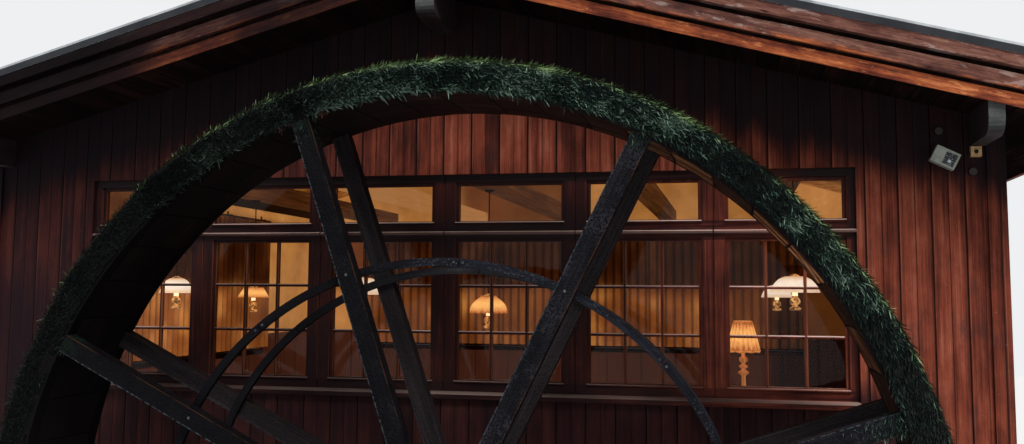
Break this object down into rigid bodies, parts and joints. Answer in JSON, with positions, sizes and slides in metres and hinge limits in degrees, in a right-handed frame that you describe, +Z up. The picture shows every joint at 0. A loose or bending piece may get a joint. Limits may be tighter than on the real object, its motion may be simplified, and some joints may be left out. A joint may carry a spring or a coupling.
{
  "type": "watermill",
  "caption": "Boarded gable mill house on a masonry storey, with a wide strip of windows and a large timber water wheel turning on an axle in front.",
  "frame": {"origin": "on the ground, at the middle of the whole mill in plan", "axes": "+Z up, +X to the right along the front gable, +Y from the wheel into the house"},
  "size_m": [9.13, 9.304, 7.6979],
  "materials": {
    "stone": "rough grey rubble stone with lime joints",
    "glass": "clear window glass over a warm lit room",
    "window_timber": "dark red-brown stained timber",
    "red_boards": "reddish-brown stained vertical boards",
    "plain_timber": "plain sawn timber",
    "lamp_shade": "cream cloth shade, lit from inside",
    "curtain_cloth": "ochre curtain cloth, lit from the room",
    "roof_metal": "dull grey standing-seam sheet",
    "pale_metal": "light grey folded sheet",
    "verge_timber": "orange-brown stained boards, weathered",
    "pale_paint": "pale grey painted timber",
    "lamp_grey": "light grey painted housing",
    "ivory": "ivory moulded plastic",
    "iron": "dark oiled iron",
    "moss": "wet green moss with hanging strands",
    "wet_timber": "dark wet timber with light specks"
  },
  "bodies": {
    "house": {"base_front": "stone", "base_rear": "stone", "base_left": "stone", "base_right": "stone", "ground_sill": "red_boards", "base_door": "red_boards", "floor_deck": "plain_timber", "floor_joists": "plain_timber", "front_wall": "red_boards", "rear_wall": "red_boards", "left_wall": "red_boards", "right_wall": "red_boards", "corner_boards": "red_boards", "front_window_frame": "window_timber", "rear_window_frame": "window_timber", "left_window_frame": "window_timber", "right_window_frame": "window_timber", "window_sashes": "window_timber", "window_glass": "glass", "tie_beams": "plain_timber", "room_lamps": "lamp_shade", "curtain_rods": "iron", "curtains": "curtain_cloth", "roof_left": "plain_timber", "roof_right": "plain_timber", "roof_sheet_left": "roof_metal", "roof_sheet_right": "roof_metal", "ridge_cap": "roof_metal", "left_verge_boards": "verge_timber", "right_verge_boards": "verge_timber", "verge_flashing": "pale_metal", "eaves_boards": "verge_timber", "ridge_purlin": "pale_paint", "eaves_purlins": "pale_paint", "flood_lamp": "lamp_grey", "wall_sensors": "ivory", "outer_pier": "stone", "outer_bearing": "iron", "wall_bearing": "iron"},
    "wheel": {"axle": "wet_timber", "axle_irons": "iron", "front_arms": "wet_timber", "rear_arms": "wet_timber", "inner_rings": "wet_timber", "front_shroud": "wet_timber", "rear_shroud": "wet_timber", "sole": "wet_timber", "buckets": "wet_timber", "rim_moss": "moss"}
  },
  "joints": [
    {"name": "wheel_turn", "type": "hinge", "parent": "house", "child": "wheel", "pos_m": [0.305, -3.838, 3.389], "axis": [0, 1, 0], "continuous": true}
  ]
}
